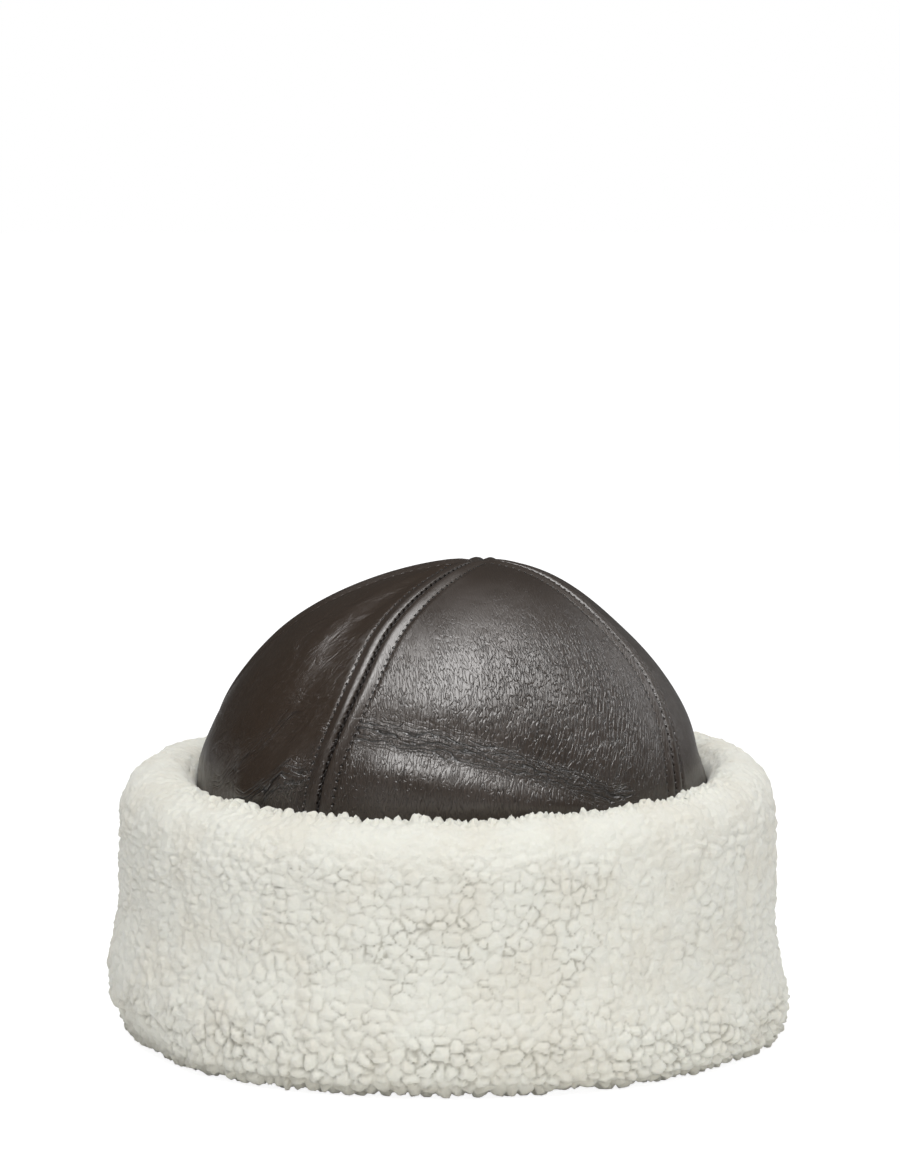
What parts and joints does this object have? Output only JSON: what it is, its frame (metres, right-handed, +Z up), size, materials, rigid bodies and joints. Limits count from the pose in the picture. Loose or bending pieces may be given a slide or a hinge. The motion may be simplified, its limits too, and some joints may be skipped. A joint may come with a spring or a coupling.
{
  "type": "shearling hat with a turned-up cuff",
  "caption": "Domed leather hat sewn from panels with wool inside, and a deep turned-up cuff with its curly wool outside, standing on its rim.",
  "frame": {"origin": "on the floor, under the middle of the hat, which stands on its rim", "axes": "+Z up through the crown, the front of the picture towards -Y, +X to the picture's right"},
  "size_m": [0.279, 0.2794, 0.1909],
  "materials": {
    "leather": "semi-gloss dark brown nappa with fine creases",
    "skin": "matt brown leather inside the cuff's fold",
    "inner_wool": "short curly ivory wool",
    "cuff_wool": "deep curly ivory wool in small tight locks"
  },
  "bodies": {
    "root": {"crown_panel_front": "leather", "crown_fleece_front": "inner_wool", "crown_panel_right": "leather", "crown_fleece_right": "inner_wool", "crown_panel_back": "leather", "crown_fleece_back": "inner_wool", "crown_panel_left": "leather", "crown_fleece_left": "inner_wool", "cuff_skin": "skin", "cuff_fleece": "cuff_wool"}
  },
  "joints": []
}
